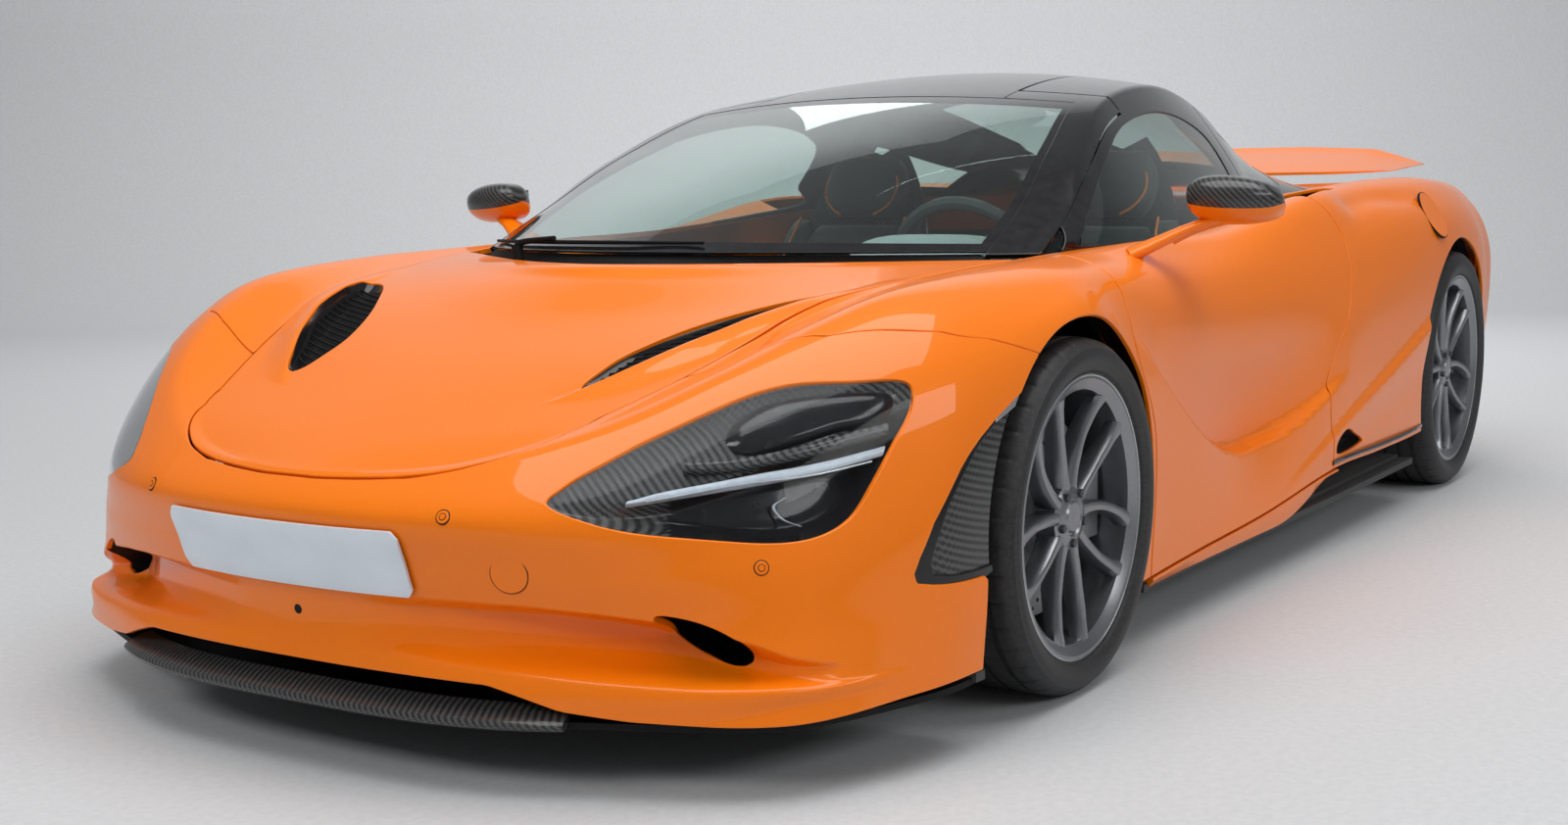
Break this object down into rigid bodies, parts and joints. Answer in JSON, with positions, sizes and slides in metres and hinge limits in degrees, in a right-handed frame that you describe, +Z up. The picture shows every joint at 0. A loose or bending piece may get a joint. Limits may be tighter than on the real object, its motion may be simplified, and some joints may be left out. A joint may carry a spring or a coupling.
{
  "type": "mid-engined sports coupe",
  "caption": "Low two-seat mid-engined coupe with lifting doors, front luggage lid, tilting rear wing and steered, spoked wheels.",
  "frame": {"origin": "on the ground under the middle of the car's length and width", "axes": "+X forward, +Y to the car's left, +Z up"},
  "size_m": [4.5669, 2.16, 1.1965],
  "materials": {
    "orange_paint": "gloss",
    "carbon": "gloss",
    "black_gloss": "gloss",
    "dark_plastic": "matte",
    "tinted_glass": "gloss",
    "lamp_glass": "gloss",
    "red_lamp": "gloss",
    "tyre": "matte",
    "dark_alloy": "satin",
    "brake_steel": "satin",
    "bare_alloy": "satin",
    "steel": "satin",
    "hide": "matte"
  },
  "bodies": {
    "chassis": {"dashboard": "hide", "diffuser": "carbon", "engine": "bare_alloy", "exhaust": "steel", "front_bumper": "orange_paint", "front_fenders": "orange_paint", "front_suspension": "bare_alloy", "headlights": "lamp_glass", "luggage_tub": "dark_plastic", "rear_bumper": "orange_paint", "rear_deck": "orange_paint", "rear_glass": "tinted_glass", "rear_quarters": "orange_paint", "rear_suspension": "bare_alloy", "roof_frame": "black_gloss", "seats": "hide", "splitter": "carbon", "tail_lamps": "red_lamp", "tub": "carbon", "underfloor": "dark_plastic", "windscreen": "tinted_glass"},
    "bonnet": {"bonnet": "orange_paint"},
    "door_left": {"door_l": "orange_paint", "door_frame_l": "black_gloss", "door_glass_l": "tinted_glass", "mirror_l": "carbon"},
    "door_right": {"door_r": "orange_paint", "door_frame_r": "black_gloss", "door_glass_r": "tinted_glass", "mirror_r": "carbon"},
    "wing": {"rear_wing": "orange_paint"},
    "knuckle_left": {"knuckle_fl": "bare_alloy"},
    "knuckle_right": {"knuckle_fr": "bare_alloy"},
    "wheel_front_left": {"tyre_fl": "tyre", "rim_fl": "dark_alloy", "disc_fl": "brake_steel"},
    "wheel_front_right": {"tyre_fr": "tyre", "rim_fr": "dark_alloy", "disc_fr": "brake_steel"},
    "wheel_rear_left": {"tyre_rl": "tyre", "rim_rl": "dark_alloy", "disc_rl": "brake_steel"},
    "wheel_rear_right": {"tyre_rr": "tyre", "rim_rr": "dark_alloy", "disc_rr": "brake_steel"},
    "hand_wheel": {"steering_wheel": "hide"}
  },
  "joints": [
    {"name": "door_left_lift", "type": "hinge", "parent": "chassis", "child": "door_left", "pos_m": [0.9545, 0.84, 0.8], "axis": [0.8388, 0.3907, -0.3792], "range_deg": [0, 72]},
    {"name": "door_right_lift", "type": "hinge", "parent": "chassis", "child": "door_right", "pos_m": [0.9545, -0.84, 0.8], "axis": [-0.8388, 0.3907, 0.3792], "range_deg": [0, 72]},
    {"name": "bonnet_lift", "type": "hinge", "parent": "chassis", "child": "bonnet", "pos_m": [0.9895, 0, 0.77], "axis": [0, -1, 0], "range_deg": [0, 55]},
    {"name": "wing_tilt", "type": "hinge", "parent": "chassis", "child": "wing", "pos_m": [-1.5805, 0, 0.888], "axis": [0, 1, 0], "range_deg": [0, 35]},
    {"name": "steer_left", "type": "hinge", "parent": "chassis", "child": "knuckle_left", "pos_m": [1.2245, 0.765, 0.327], "axis": [0, 0, 1], "range_deg": [-28, 28]},
    {"name": "steer_right", "type": "hinge", "parent": "chassis", "child": "knuckle_right", "pos_m": [1.2245, -0.765, 0.327], "axis": [0, 0, 1], "range_deg": [-28, 28]},
    {"name": "steering_column", "type": "hinge", "parent": "chassis", "child": "hand_wheel", "pos_m": [0.5345, 0.36, 0.712], "axis": [-0.9272, 0, 0.3746], "range_deg": [-380, 380]},
    {"name": "wheel_spin_front_left", "type": "hinge", "parent": "knuckle_left", "child": "wheel_front_left", "pos_m": [1.2245, 0.84, 0.327], "axis": [0, 1, 0], "continuous": true},
    {"name": "wheel_spin_front_right", "type": "hinge", "parent": "knuckle_right", "child": "wheel_front_right", "pos_m": [1.2245, -0.84, 0.327], "axis": [0, 1, 0], "continuous": true},
    {"name": "wheel_spin_rear_left", "type": "hinge", "parent": "chassis", "child": "wheel_rear_left", "pos_m": [-1.4455, 0.8145, 0.3455], "axis": [0, 1, 0], "continuous": true},
    {"name": "wheel_spin_rear_right", "type": "hinge", "parent": "chassis", "child": "wheel_rear_right", "pos_m": [-1.4455, -0.8145, 0.3455], "axis": [0, 1, 0], "continuous": true}
  ],
  "couplings": [
    {"joint": "steer_right", "follows": "steer_left", "ratio": 1},
    {"joint": "steering_column", "follows": "steer_left", "ratio": 13.5}
  ]
}
